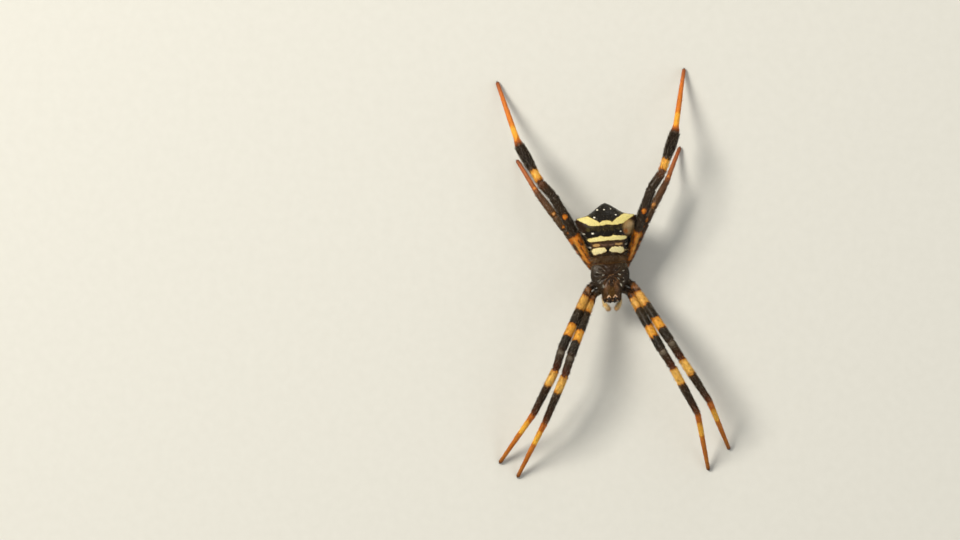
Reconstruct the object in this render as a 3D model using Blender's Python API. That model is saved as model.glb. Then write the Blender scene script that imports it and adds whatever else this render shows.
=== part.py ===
"""Orb weaver spider of the St Andrew's cross kind (an adult female Argiope), life size.

A still model: it stands with its legs in the four pairs of an X, head toward -Y.
Millimetres are multiplied by MM.  Inside the body's own frame a place is given as
forward of the prosoma's centre, out to the side and up from the floor.
"""
import math

import bmesh
import bpy
import numpy as np
from mathutils import Vector

MM = 0.001

# ---- driving dimensions, in mm and degrees ---------------------------------------
BODY_TURN = 4.6                 # the body's axis is turned this much about Z
BODY_PLACE = (-0.468, -0.812)     # prosoma centre from the middle of the leg span
JOINT_GAP = 0.06                # thin parting cut between two pieces
SKIN_GAP = 0.04                 # gap between an eye and its socket

CARAPACE_REAR, CARAPACE_FRONT = -2.45, 2.78
# forward, half width, height of the top, of the widest line and of the underside
CARAPACE = ((-2.45, 1.42, 5.02, 4.82, 4.60),
            (-2.10, 1.90, 5.30, 4.86, 4.60),
            (-1.40, 2.24, 5.62, 4.84, 4.54),
            (-0.60, 2.36, 5.72, 4.78, 4.40),
            (0.10, 2.25, 5.74, 4.76, 4.38),
            (0.55, 1.96, 5.78, 4.77, 4.38),
            (0.95, 1.66, 5.82, 4.80, 4.38),
            (1.35, 1.38, 5.84, 4.85, 4.38),
            (1.80, 1.22, 5.80, 4.90, 4.38),
            (2.35, 1.16, 5.62, 4.95, 4.40),
            (2.78, 1.04, 5.22, 4.90, 4.46))

ABDOMEN_APEX, ABDOMEN_LENGTH = -9.25, 6.74
# distance from the tail's tip, half width, top, widest line, underside
ABDOMEN = ((0.00, 0.25, 5.85, 5.45, 5.15),
           (0.45, 0.87, 6.25, 5.45, 4.75),
           (1.15, 1.85, 6.72, 5.60, 4.15),
           (1.42, 2.36, 6.87, 5.75, 3.90),
           (1.72, 3.54, 6.98, 5.76, 3.62),
           (2.00, 3.68, 7.08, 5.78, 3.40),
           (3.00, 3.30, 7.30, 5.76, 2.98),
           (4.30, 2.68, 7.22, 5.65, 2.92),
           (5.50, 2.26, 6.80, 5.40, 3.45),
           (6.25, 2.06, 6.35, 5.22, 4.05),
           (6.74, 1.84, 5.90, 5.18, 4.45))

STERNUM = (-0.15, 1.35, 0.88, 3.05, 4.30)   # middle, half length, half width, z, z
# forward, out, up and radius of each eye's ball (one side)
EYES = {"eye_anterior_median": (2.70, 0.26, 5.28, 0.13),
        "eye_posterior_median": (2.22, 0.38, 5.60, 0.15),
        "eye_anterior_lateral": (2.64, 0.90, 4.98, 0.10),
        "eye_posterior_lateral": (2.34, 1.02, 5.12, 0.10)}

# where a coxa leaves the sternum, where it ends and where the femur starts beyond the
# short trochanter: forward, out, up
COXA_ROOT = {1: (0.98, 0.64, 3.66), 2: (0.24, 0.98, 3.70),
             3: (-0.62, 0.96, 3.60), 4: (-1.36, 0.68, 3.82)}
COXA_END = {1: (1.32, 1.62, 3.68), 2: (0.42, 2.02, 3.88),
            3: (-0.88, 1.50, 3.46), 4: (-1.62, 1.56, 4.06)}
FEMUR_BASE = {1: (1.75, 2.22, 3.72), 2: (0.92, 2.68, 4.05),
              3: (-1.25, 1.80, 3.35), 4: (-2.08, 2.12, 4.35)}
# lengths of femur, patella, tibia and the two joined parts of the foot
LENGTHS = {1: (8.2, 2.35, 6.5, 9.0), 2: (8.3, 2.35, 6.3, 8.7),
           3: (6.0, 1.95, 3.75, 5.35), 4: (9.4, 2.2, 5.4, 9.3)}
# headings from straight ahead of femur, patella, tibia and foot, then the pitches
# of the first three; the foot's fall is solved so that its tip reaches the floor
POSE = {("right", 1): ((25.2, 22.0, 27.0, 30.4), (20.8, 3.0, -14.5)),
        ("right", 2): ((29.0, 20.5, 30.8, 38.4), (16.4, 1.0, -14.5)),
        ("right", 3): ((149.0, 147.3, 147.5, 153.3), (2.3, -3.5, -10.0)),
        ("right", 4): ((154.8, 141.5, 155.0, 166.0), (9.4, 1.6, -15.5)),
        ("left", 1): ((24.0, 27.7, 24.0, 7.8), (18.0, 3.3, -6.6)),
        ("left", 2): ((28.7, 28.0, 28.6, 19.5), (16.0, 3.3, -4.8)),
        ("left", 3): ((150.2, 150.7, 147.1, 153.2), (3.5, -2.5, -9.3)),
        ("left", 4): ((156.9, 141.8, 156.6, 166.1), (13.2, 1.3, -17.0))}
TIP_HEIGHT = 0.15               # height of a tarsus's middle line at its tip
FEMUR_ARCH = {1: 0.28, 2: 0.28, 3: 0.0, 4: 0.20}
FOOT_SAG = 0.22
# radius out to the hair's tips along each segment, as (fraction, radius)
GIRTH_FORE = {"coxa": ((0, .34), (.3, .42), (.5, .44), (.7, .45), (.8, .43), (1, .46)),
              "femur": ((0, .46), (.10, .47), (.35, .51), (.65, .53), (.9, .55), (1, .50)),
              "patella": ((0, .46), (.5, .47), (1, .43)),
              "tibia": ((0, .41), (.2, .48), (.5, .46), (.8, .41), (1, .36)),
              "metatarsus": ((0, .36), (.12, .35), (.45, .32), (.75, .27), (1, .24))}
GIRTH = {1: GIRTH_FORE,
         2: GIRTH_FORE,
         3: {"coxa": ((0, .34), (.4, .39), (.7, .37), (.8, .34), (1, .36)),
             "femur": ((0, .36), (.10, .42), (.35, .47), (.7, .48), (1, .43)),
             "patella": ((0, .42), (.5, .46), (1, .43)),
             "tibia": ((0, .42), (.3, .45), (.7, .40), (1, .33)),
             "metatarsus": ((0, .32), (.15, .30), (.5, .27), (1, .24))},
         4: {"coxa": ((0, .34), (.4, .41), (.7, .41), (.8, .39), (1, .42)),
             "femur": ((0, .40), (.10, .45), (.35, .52), (.7, .57), (.9, .57), (1, .52)),
             "patella": ((0, .51), (.5, .55), (1, .47)),
             "tibia": ((0, .41), (.25, .46), (.5, .55), (.8, .60), (.93, .53), (1, .38)),
             "metatarsus": ((0, .36), (.12, .35), (.45, .32), (.75, .27), (1, .24))}}

COLOURS = {"shell": ((0.115, 0.085, 0.065), 0.55), "shield": ((0.30, 0.24, 0.16), 0.6),
           "abdomen": ((0.30, 0.20, 0.05), 0.5), "eye": ((0.01, 0.01, 0.012), 0.08),
           "jaw": ((0.20, 0.09, 0.035), 0.4), "fang": ((0.035, 0.01, 0.006), 0.25),
           "palp": ((0.62, 0.45, 0.25), 0.5), "coxa": ((0.26, 0.17, 0.08), 0.6),
           "femur": ((0.55, 0.26, 0.03), 0.55), "dark": ((0.05, 0.022, 0.014), 0.55),
           "foot": ((0.42, 0.13, 0.03), 0.55)}


def clear_scene():
    for obj in list(bpy.data.objects):
        bpy.data.objects.remove(obj, do_unlink=True)


def collection(name):
    made = bpy.data.collections.new(name)
    bpy.context.scene.collection.children.link(made)
    return made


def material(kind):
    found = bpy.data.materials.get(kind)
    if found:
        return found
    colour, rough = COLOURS[kind]
    made = bpy.data.materials.new(kind)
    made.use_nodes = True
    shader = made.node_tree.nodes["Principled BSDF"]
    shader.inputs["Base Color"].default_value = (*colour, 1.0)
    shader.inputs["Roughness"].default_value = rough
    shader.inputs["Metallic"].default_value = 0.0
    return made


def place(forward, out, up):
    """A point of the body's own frame in metres; +out is the animal's left."""
    return Vector((out, -forward, up)) * MM


def smooth_between(x, knots, values):
    """Monotone cubic curve through (knots, values), read at x."""
    x, knots, values = np.asarray(x, float), np.asarray(knots), np.asarray(values)
    step = np.diff(knots)
    rise = np.diff(values) / step
    slope = np.zeros(len(knots))
    inner = rise[:-1] * rise[1:] > 0
    mean = 2 * rise[:-1] * rise[1:] / np.where(inner, rise[:-1] + rise[1:], 1.0)
    slope[1:-1] = np.where(inner, mean, 0.0)
    slope[0], slope[-1] = rise[0], rise[-1]
    k = np.clip(np.searchsorted(knots, x) - 1, 0, len(step) - 1)
    t = (x - knots[k]) / step[k]
    a, b = values[k], values[k + 1]
    return (a * (1 + 2 * t) * (1 - t) ** 2 + b * t * t * (3 - 2 * t)
            + step[k] * t * (1 - t) * (slope[k] * (1 - t) - slope[k + 1] * t))


def new_object(name, mesh, kind, group, parent):
    obj = bpy.data.objects.new(name, mesh)
    mesh.materials.clear()
    mesh.materials.append(material(kind))
    mesh.shade_smooth()
    group.objects.link(obj)
    obj.parent = parent
    return obj


def mesh_of(bm, name):
    bmesh.ops.recalc_face_normals(bm, faces=bm.faces[:])
    mesh = bpy.data.meshes.new(name)
    bm.to_mesh(mesh)
    bm.free()
    return mesh


def shaped_ball(name, stations, length, to_forward, rings, sides, top_power, round_ends):
    """A ball whose rings are drawn out to a table of sections.

    Ring by ring, the section is a pair of half super-ellipses that share the widest
    line.  Near both ends they shrink as a quarter circle does, over round_ends mm."""
    table = np.array(stations)
    bm = bmesh.new()
    bmesh.ops.create_uvsphere(bm, u_segments=sides, v_segments=rings, radius=1.0)
    for vert in bm.verts:
        turn = math.atan2(vert.co.y, vert.co.x)
        s = math.acos(max(-1.0, min(1.0, vert.co.z))) / math.pi
        run = length * (s - 0.45 * math.sin(2 * math.pi * s) / (2 * math.pi))
        along = table[0, 0] + run
        wide, top, mid, low = (float(smooth_between(along, table[:, 0], table[:, i]))
                               for i in range(1, 5))
        near = min(run / round_ends[0], (length - run) / round_ends[1], 1.0)
        shrink = math.sqrt(max(0.0, 1 - (1 - near) ** 2))
        c, d = math.cos(turn), math.sin(turn)
        power = top_power if d > 0 else 2.0
        c = math.copysign(abs(c) ** (2 / power), c)
        d = math.copysign(abs(d) ** (2 / power), d)
        height = (top - mid) if d > 0 else (mid - low)
        vert.co = place(to_forward(along), wide * shrink * c, mid + height * shrink * d)
    bmesh.ops.remove_doubles(bm, verts=bm.verts[:], dist=1e-7)
    return mesh_of(bm, name)


def ball(name, centre, radius, sides=12, rings=8, scale=(1, 1, 1)):
    bm = bmesh.new()
    bmesh.ops.create_uvsphere(bm, u_segments=sides, v_segments=rings, radius=radius * MM)
    bmesh.ops.scale(bm, vec=scale, verts=bm.verts[:])
    bmesh.ops.translate(bm, vec=centre, verts=bm.verts[:])
    return mesh_of(bm, name)


def tube_mesh(name, points, radii, resolution=2):
    """A bevelled curve through the points, made a closed mesh."""
    curve = bpy.data.curves.new(name, 'CURVE')
    curve.dimensions = '3D'
    curve.bevel_depth = MM
    curve.bevel_resolution = resolution
    curve.use_fill_caps = True
    spline = curve.splines.new('POLY')
    spline.points.add(len(points) - 1)
    for point, place_, radius in zip(spline.points, points, radii):
        point.co = (*place_, 1.0)
        point.radius = radius
    obj = bpy.data.objects.new(name, curve)
    bpy.context.scene.collection.objects.link(obj)
    bpy.context.view_layer.update()
    graph = bpy.context.evaluated_depsgraph_get()
    mesh = bpy.data.meshes.new_from_object(obj.evaluated_get(graph))
    bpy.data.objects.remove(obj, do_unlink=True)
    bpy.data.curves.remove(curve)
    bm = bmesh.new()
    bm.from_mesh(mesh)
    bpy.data.meshes.remove(mesh)
    bmesh.ops.remove_doubles(bm, verts=bm.verts[:], dist=1e-7)
    return mesh_of(bm, name)


def trimmed(mesh, name, cuts):
    """A copy of mesh cut by planes; each keeps the side its normal points to."""
    bm = bmesh.new()
    bm.from_mesh(mesh)
    for spot, normal in cuts:
        geom = bm.verts[:] + bm.edges[:] + bm.faces[:]
        bmesh.ops.bisect_plane(bm, geom=geom, dist=1e-8, plane_co=spot,
                               plane_no=normal, clear_inner=True)
        rim = [edge for edge in bm.edges if edge.is_boundary]
        bmesh.ops.holes_fill(bm, edges=rim, sides=0)
    return mesh_of(bm, name)


def direction(heading, pitch, side):
    a, b = math.radians(heading), math.radians(pitch)
    return Vector((side * math.cos(b) * math.sin(a), -math.cos(b) * math.cos(a), math.sin(b)))


def leg_joints(hand, number):
    """The leg's joint centres, from the coxa's root to the tarsus's tip."""
    side = 1 if hand == "left" else -1
    f, out, up = COXA_ROOT[number]
    spots = [place(f, side * out, up)]
    for table in (COXA_END, FEMUR_BASE):
        f, out, up = table[number]
        spots.append(place(f, side * out, up))
    *bones, foot = (length * MM for length in LENGTHS[number])
    headings, pitches = POSE[hand, number]
    for length, heading, pitch in zip(bones, headings, pitches):
        spots.append(spots[-1] + direction(heading, pitch, side) * length)
    fall = math.degrees(math.asin((spots[-1].z - TIP_HEIGHT * MM) / foot))
    spots.append(spots[-1] + direction(headings[3], -fall, side) * foot)
    return spots


def leg(hand, number, group, parent):
    """One leg: a single tube along its bent middle line, parted at its joints."""
    spots = leg_joints(hand, number)
    girth = GIRTH[number]
    up = Vector((0, 0, MM))
    line, radii = [], []
    runs = ((0, 2, "coxa", 0.0), (2, 3, "femur", FEMUR_ARCH[number]), (3, 4, "patella", 0.06),
            (4, 5, "tibia", 0.08), (5, 6, "metatarsus", -FOOT_SAG))
    for start, end, part, arch in runs:
        for fraction, radius in girth[part][1 if line else 0:]:
            if part == "coxa":
                if fraction < 0.8:
                    spot = spots[0].lerp(spots[1], fraction / 0.8)
                else:
                    spot = spots[1].lerp(spots[2], (fraction - 0.8) / 0.2)
            else:
                spot = spots[start].lerp(spots[end], fraction)
            line.append(spot + up * arch * 4 * fraction * (1 - fraction))
            radii.append(radius)
    whole = tube_mesh(f"leg_{number}_{hand}", line, radii)
    joints = spots[2:6]
    ways = [(b - a).normalized() for a, b in zip([spots[1]] + joints, joints + [spots[6]])]
    planes = [(spot, (ways[i] + ways[i + 1]).normalized()) for i, spot in enumerate(joints)]
    for i, (part, kind) in enumerate(zip(girth, ("coxa", "femur", "dark", "dark", "foot"))):
        cuts = []
        if i > 0:
            spot, normal = planes[i - 1]
            cuts.append((spot + normal * JOINT_GAP / 2 * MM, normal))
        if i < len(planes):
            spot, normal = planes[i]
            cuts.append((spot - normal * JOINT_GAP / 2 * MM, -normal))
        if part == "metatarsus":
            cuts.append((Vector((0, 0, 0)), Vector((0, 0, 1))))
        name = f"leg_{number}_{hand}_{part}"
        new_object(name, trimmed(whole, name, cuts), kind, group, parent)
    bpy.data.meshes.remove(whole)


def main():
    clear_scene()
    group = collection("orb_weaver_spider")
    cutters = collection("cutters")
    frame = bpy.data.objects.new("body_frame", None)
    frame.location = (BODY_PLACE[0] * MM, BODY_PLACE[1] * MM, 0)
    frame.rotation_euler = (0, 0, math.radians(BODY_TURN))
    group.objects.link(frame)

    # prosoma: the domed carapace with its eye sockets, and the sternum below
    length = CARAPACE_FRONT - CARAPACE_REAR
    shell = shaped_ball("carapace", CARAPACE, length, lambda f: f, 18, 26, 2.3, (0.5, 0.28))
    carapace = new_object("carapace", shell, "shell", group, frame)
    sockets = []
    for kind, (f, out, up, radius) in EYES.items():
        for hand, side in (("left", 1), ("right", -1)):
            spot = place(f, side * out, up)
            new_object(f"{kind}_{hand}", ball(kind, spot, radius, 10, 6), "eye", group, frame)
            sockets.append(ball("socket", spot, radius + SKIN_GAP, 10, 6))
    bm = bmesh.new()
    for mesh in sockets:
        bm.from_mesh(mesh)
        bpy.data.meshes.remove(mesh)
    cutter = bpy.data.objects.new("eye_sockets", mesh_of(bm, "eye_sockets"))
    cutters.objects.link(cutter)
    cutter.parent = frame
    cutter.hide_render = True
    cutter.display_type = 'WIRE'
    cut = carapace.modifiers.new("sockets", 'BOOLEAN')
    cut.operation, cut.solver, cut.object = 'DIFFERENCE', 'EXACT', cutter

    middle, half_length, half_width, low, high = STERNUM
    plate = ball("sternum", place(middle, 0, (low + high) / 2), 1.0, 16, 8,
                 (half_width, half_length, (high - low) / 2 * 1.12))
    plate = trimmed(plate, "sternum", [(place(0, 0, high), Vector((0, 0, -1)))])
    new_object("sternum", plate, "shield", group, frame)

    # jaws: two stout chelicerae that hang below the face, each with a folded fang
    for hand, side in (("left", 1), ("right", -1)):
        line = [place(2.30, side * 0.37, 4.28), place(2.42, side * 0.38, 3.95),
                place(2.45, side * 0.38, 3.50), place(2.38, side * 0.37, 3.05),
                place(2.28, side * 0.35, 2.82)]
        mesh = tube_mesh("chelicera", line, (0.30, 0.32, 0.33, 0.31, 0.22))
        new_object(f"chelicera_{hand}", mesh, "jaw", group, frame)
        line = [place(2.24, side * 0.40, 2.68), place(2.10, side * 0.33, 2.60),
                place(1.90, side * 0.24, 2.62), place(1.72, side * 0.14, 2.70)]
        mesh = tube_mesh("fang", line, (0.10, 0.09, 0.06, 0.025), 1)
        new_object(f"fang_{hand}", mesh, "fang", group, frame)
        line = [place(1.35, side * 0.58, 3.18), place(1.78, side * 0.86, 3.30),
                place(2.25, side * 0.97, 3.70), place(2.72, side * 0.95, 3.96),
                place(3.10, side * 0.77, 3.92), place(3.42, side * 0.54, 3.62),
                place(3.66, side * 0.43, 3.20)]
        mesh = tube_mesh("pedipalp", line, (.25, .25, .23, .25, .31, .31, .22))
        new_object(f"pedipalp_{hand}", mesh, "palp", group, frame)

    # waist, abdomen and spinnerets
    line = [place(-2.10, 0, 4.22), place(-2.40, 0, 4.18), place(-2.72, 0, 4.24)]
    waist = tube_mesh("pedicel", line, (0.26, 0.30, 0.26))
    new_object("pedicel", waist, "coxa", group, frame)
    hump = shaped_ball("abdomen", ABDOMEN, ABDOMEN_LENGTH, lambda v: ABDOMEN_APEX + v,
                       26, 28, 2.4, (0.35, 0.40))
    new_object("abdomen", hump, "abdomen", group, frame)
    line = [place(-6.72, 0, 2.93), place(-6.80, 0, 2.72), place(-6.92, 0, 2.40)]
    cone = tube_mesh("spinnerets", line, (0.62, 0.56, 0.30))
    new_object("spinnerets", cone, "coxa", group, frame)

    for hand in ("left", "right"):
        for number in (1, 2, 3, 4):
            leg(hand, number, group, frame)
    bpy.context.view_layer.update()


main()
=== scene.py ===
"""A female orb weaver spider, life size, standing with its legs laid in four pairs."""

import bpy
import numpy as np
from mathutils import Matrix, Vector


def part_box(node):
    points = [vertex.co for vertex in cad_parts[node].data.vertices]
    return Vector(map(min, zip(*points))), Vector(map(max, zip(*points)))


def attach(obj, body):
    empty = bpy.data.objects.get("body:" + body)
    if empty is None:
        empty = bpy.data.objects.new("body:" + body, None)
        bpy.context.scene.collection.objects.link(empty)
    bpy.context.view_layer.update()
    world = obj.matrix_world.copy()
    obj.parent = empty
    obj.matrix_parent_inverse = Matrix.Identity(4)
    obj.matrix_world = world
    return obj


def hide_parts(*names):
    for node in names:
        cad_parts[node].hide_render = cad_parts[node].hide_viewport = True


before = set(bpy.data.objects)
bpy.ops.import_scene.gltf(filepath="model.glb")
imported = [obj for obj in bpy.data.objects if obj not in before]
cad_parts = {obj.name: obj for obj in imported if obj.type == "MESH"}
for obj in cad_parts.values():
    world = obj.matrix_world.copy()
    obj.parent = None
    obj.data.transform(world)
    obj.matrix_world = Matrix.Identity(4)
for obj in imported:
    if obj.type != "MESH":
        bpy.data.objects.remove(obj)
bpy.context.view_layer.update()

MM = 0.001


# ---- View, floor and light ----------------------------------------------------------
# The spider stands on a plain pale floor and is looked at from straight above, through
# a long lens, with the animal right of the middle.  Soft lights stand round it, the
# strongest at the upper left, as under an open sky at the edge of a wood.
LENS_HEIGHT = 0.6
PICTURE_WIDTH = 0.1152            # of floor, at the height of the animal's legs
LEG_LEVEL = 0.004
PICTURE_CENTRE = (-0.016108, 0.000338)
SENSOR_WIDTH = 36                 # in mm, as is the lens
FLOOR_REACH = 3.0


def new_object(name, data):
    """Puts data into the scene as an object."""
    thing = bpy.data.objects.new(name, data)
    bpy.context.collection.objects.link(thing)
    return thing


camera = new_object("camera", bpy.data.cameras.new("camera"))
camera.data.sensor_width = SENSOR_WIDTH
camera.data.lens = SENSOR_WIDTH * (LENS_HEIGHT - LEG_LEVEL) / PICTURE_WIDTH
camera.data.clip_start, camera.data.clip_end = 0.01, 20
camera.location = (*PICTURE_CENTRE, LENS_HEIGHT)
bpy.context.scene.camera = camera
bpy.context.scene.view_settings.view_transform = "Standard"   # colours as they are


def soft_light(name, place, size, power, colour):
    """A square lamp at a place in metres, turned to face the animal."""
    lamp = new_object(name, bpy.data.lights.new(name, "AREA"))
    lamp.location = place
    lamp.rotation_euler = (-lamp.location).to_track_quat("-Z", "Y").to_euler()
    lamp.data.size, lamp.data.energy, lamp.data.color = size, power, colour


soft_light("key", (-0.40, 0.26, 0.46), 0.24, 5.0, (1.0, 0.955, 0.87))
soft_light("fill", (0.55, -0.25, 0.45), 0.55, 1.4, (0.95, 0.97, 1.0))
soft_light("rim", (0.10, 0.62, 0.30), 0.35, 0.8, (1.0, 0.98, 0.94))


def feed(tree, node, **inputs):
    """Links each input that is given a socket and sets any other; an input named n0,
    n1 ... is the socket of that number."""
    for key, value in inputs.items():
        socket = node.inputs[int(key[1:]) if key[1:].isdigit() else key.replace("_", " ")]
        if isinstance(value, bpy.types.NodeSocket):
            tree.links.new(value, socket)
        else:
            socket.default_value = value
    return node


def add_node(tree, kind, settings=(), **inputs):
    """Adds a shader node with its settings and feeds its inputs."""
    node = tree.nodes.new("ShaderNode" + kind)
    for key, value in dict(settings).items():
        setattr(node, key, value)
    return feed(tree, node, **inputs)


def noise(tree, place, scale, detail, **inputs):
    """Noise on a place, from 0 to 1."""
    return add_node(tree, "TexNoise", Vector=place, Scale=scale, Detail=detail,
                    **inputs).outputs["Fac"]


def two_tones(tree, share, dark, light):
    """A colour between two, by a share from 0 to 1."""
    node = add_node(tree, "ValToRGB", Fac=share)
    for element, colour in zip(node.color_ramp.elements, (dark, light)):
        element.color = (*colour, 1)
    return node.outputs["Color"]


def new_material(name):
    """An empty Principled material: returns it, its tree and its shader node."""
    material = bpy.data.materials.new(name)
    material.use_nodes = True
    return material, material.node_tree, material.node_tree.nodes["Principled BSDF"]


world = bpy.data.worlds.new("pale room")
world.use_nodes = True
feed(world.node_tree, world.node_tree.nodes["Background"],
     Color=(0.86, 0.86, 0.82, 1), Strength=0.36)
bpy.context.scene.world = world

floor_mesh = bpy.data.meshes.new("floor")
floor_mesh.from_pydata([(FLOOR_REACH * x, FLOOR_REACH * y, 0) for x, y in (
    (-1, -1), (1, -1), (1, 1), (-1, 1))], [], [(0, 1, 2, 3)])
floor = new_object("floor", floor_mesh)
material, tree, shader = new_material("pale floor")
where = add_node(tree, "TexCoord").outputs["Object"]
grain = noise(tree, where, 900.0, 4.0)
feed(tree, shader, Roughness=0.85, Specular_IOR_Level=0.2,
     Base_Color=two_tones(tree, grain, (0.62, 0.61, 0.56), (0.66, 0.65, 0.60)))
floor_mesh.materials.append(material)


# ---- The body's own frame -----------------------------------------------------------
# Everything on the trunk is placed by how far forward it is, how far out to the
# animal's left, and how high.  The two hind eyes of the side rows give that frame:
# they stand level, 2.34 mm ahead of the middle of the body.
SIDE_EYE_FORWARD = 2.34


def box_middle(node):
    """Centre of a solid's box, in mm."""
    low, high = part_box(node)
    return np.array((low + high) / 2) / MM


eye_pair = [box_middle(f"eye_posterior_lateral_{hand}") for hand in ("left", "right")]
OUT = (eye_pair[0] - eye_pair[1]) / np.linalg.norm(eye_pair[0] - eye_pair[1])
UP = np.array((0.0, 0.0, 1.0))
FORWARD = np.cross(OUT, UP)
ORIGIN = (eye_pair[0] + eye_pair[1]) / 2 * (1, 1, 0) - SIDE_EYE_FORWARD * FORWARD


def on_body(forward, out, up):
    """Body sizes in mm to a place in mm: origin + forward, out and up along their axes."""
    forward, out, up = np.broadcast_arrays(forward, out, up)
    return (ORIGIN + forward[..., None] * FORWARD + out[..., None] * OUT
            + up[..., None] * UP)


# ---- Shells: how every piece of skin is laid out -------------------------------------
# A spider's skin is a thin hardened cuticle, in closed plates and tubes that meet at
# soft joints.  Each is a stack of rings, closed at both ends, and all become one mesh.
def unit(v):
    """Vectors drawn to length one."""
    return v / np.maximum(np.linalg.norm(v, axis=-1, keepdims=True), 1e-9)


def turns_of(sides):
    """Angles of a ring's points, from its lowest one round."""
    return np.linspace(0, 2 * np.pi, sides, endpoint=False) - np.pi / 2


def distances(line):
    """How far along a line each of its points lies."""
    steps = np.linalg.norm(np.diff(line, axis=0), axis=1)
    return np.concatenate([[0], np.cumsum(steps)])


def stacked(*columns):
    """Columns side by side, as a new last axis."""
    return np.stack(np.broadcast_arrays(*columns), -1)


def closed_shell(rings, uv_box, **fields):
    """Joins rings of points, counted from the first end, into a closed shell.

    Ring r meets ring r + 1 by four-sided faces, and each end runs to a pole at the mean
    of its last ring.  The flat map goes round the ring across its box (left, bottom,
    width, height) and up it by the mean distance from ring to ring.  A field is one
    value, or one for each point of the rings."""
    count, sides = rings.shape[:2]
    poles = [rings[0].mean(0), rings[-1].mean(0)]
    step = np.linalg.norm(np.diff(rings, axis=0), axis=2).mean(1)
    reach = [np.linalg.norm(rings[0] - poles[0], axis=1).mean(), *step,
             np.linalg.norm(rings[-1] - poles[1], axis=1).mean()]
    climb = np.concatenate([[0], np.cumsum(reach)]) / np.sum(reach)
    r, s = np.meshgrid(np.arange(count - 1), np.arange(sides), indexing="ij")
    after = (s + 1) % sides
    quads = stacked(r * sides + s, (r + 1) * sides + s, (r + 1) * sides + after,
                    r * sides + after).reshape(-1, 4)
    low, high = climb[r + 1], climb[r + 2]
    quad_map = stacked(s, low, s, high, s + 1, high, s + 1, low).reshape(-1, 2)
    s, after, pole = s[0], after[0], count * sides
    top = pole - sides
    tris = np.concatenate([stacked(pole, s, after), stacked(pole + 1, top + after, top + s)])
    tri_map = np.concatenate([stacked(s + 0.5, 0.0, s, climb[1], s + 1, climb[1]),
                              stacked(s + 0.5, 1.0, s + 1, climb[-2], s, climb[-2])])
    flat = np.concatenate([quad_map, tri_map.reshape(-1, 2)])
    shell = {"at": np.concatenate([rings.reshape(-1, 3), poles]), "quads": quads,
             "tris": tris, "uv": flat * (uv_box[2] / sides, uv_box[3]) + uv_box[:2]}
    for name, value in fields.items():
        wide = (3,) if name in ("ground", "bright", "lie") else ()
        value = np.broadcast_to(np.asarray(value, float), (count, sides, *wide))
        shell[name] = np.concatenate([value.reshape(-1, *wide),
                                      [value[0].mean(0), value[-1].mean(0)]])
    return shell


def tube_rings(line, wide, sides, top=UP):
    """Rings along a line: centre + wide cos a across + wide sin a towards the back,
    square to the line, where across = line direction x top."""
    along = unit(np.gradient(line, axis=0))
    across = unit(np.cross(along, top))
    back = np.cross(across, along)
    turn, wide = turns_of(sides), wide[:, None, None]
    rings = (line[:, None] + wide * np.cos(turn)[:, None] * across[:, None]
             + wide * np.sin(turn)[:, None] * back[:, None])
    return rings, along, across, turn


def srgb(*colour):
    """A colour as seen, 0 to 255, to the linear light that a shader mixes."""
    c = np.asarray(colour, float) / 255
    return np.where(c <= 0.04045, c / 12.92, ((c + 0.055) / 1.055) ** 2.4)


def ramp(x, table):
    """Colour at x, between the rows of a table: x, then the colour as seen."""
    table = np.array(table, float)
    return stacked(*(np.interp(x, table[:, 0], part) for part in srgb(*table[:, 1:]).T))


def inside(distance, soft):
    """0 to 1 as a distance goes from -soft to +soft, with no corner at either end."""
    t = np.clip(distance / (2 * soft) + 0.5, 0, 1)
    return t * t * (3 - 2 * t)


def within(x, low, high, soft, soft_high=None):
    """1 where x is between low and high and 0 beyond, with soft ends."""
    return inside(x - low, soft) * inside(high - x, soft_high or soft)


def hill(x, half):
    """A bell curve of height 1 that falls to 1 / e at half."""
    return np.exp(-(x / half) ** 2)


def tinted(ground, *tints):
    """Ground colour with other colours, as seen, laid over it: (colour, share) pairs."""
    for colour, share in tints:
        share = np.asarray(share)[..., None]
        ground = ground * (1 - share) + srgb(*colour) * share
    return ground


def mottled(x, y, size, seed):
    """A smooth, uneven value, mostly between -1 and 1: nine waves of mixed headings."""
    turns = np.random.default_rng(seed).uniform(0, 2 * np.pi, (9, 2))
    total = 0
    for k, (heading, phase) in enumerate(turns):
        wave = 2 * np.pi / size * (0.6 + 0.16 * k)
        total = total + np.sin(wave * (x * np.cos(heading) + y * np.sin(heading)) + phase)
    return total / 4.5


skin_shells = {}
LEGS = [(number, hand) for number in (1, 2, 3, 4) for hand in ("left", "right")]
# Boxes on the flat map: left, bottom, width, height.  The legs lie side by side in
# strips on the left, the trunk on the right, its small plates along the top.
LEG_STRIP = 0.0875
CARAPACE_BOX, ABDOMEN_BOX = (0.715, 0.505, 0.275, 0.27), (0.715, 0.01, 0.275, 0.48)
SMALL_BOXES = iter([(0.715 + 0.046 * (k % 6), 0.79 + 0.05 * (k // 6), 0.043, 0.046)
                    for k in range(24)])


# ---- Legs ---------------------------------------------------------------------------
# Eight banded legs of tubes: coxa and trochanter, femur, patella, tibia, and a slender
# metatarsus and tarsus.  The plates narrow to soft necks at each joint, and the line
# and girth of each leg are measured from its solids, less the depth of the coat.
SEGMENTS = ("coxa", "femur", "patella", "tibia", "metatarsus")
CUTS = (0.10, 0.22, 0.34, 0.46, 0.58, 0.70, 0.82, 0.92)
COAT_DEPTH = 0.028
CLOSE = 0.12                      # solids meet where their corners are as near as this
ROOT_IN = 0.75                    # how far each leg's skin runs on into the trunk
SMOOTHING, FINE_STEP = 0.15, 0.02
RING_GAP = 0.17                   # from ring to ring of skin, away from the joints
CROWDING, CROWD_REACH = 12, 0.28  # rings added at a joint for each mm, and how far off
LEG_SIDES = 20
NECK_REACH, SWELL, SWELL_AT, SWELL_REACH = 0.11, 0.3, 0.34, 0.14
TIP_ROUND = 0.22
LEG_CLEARANCE = 0.012             # between the skin and the floor
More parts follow.
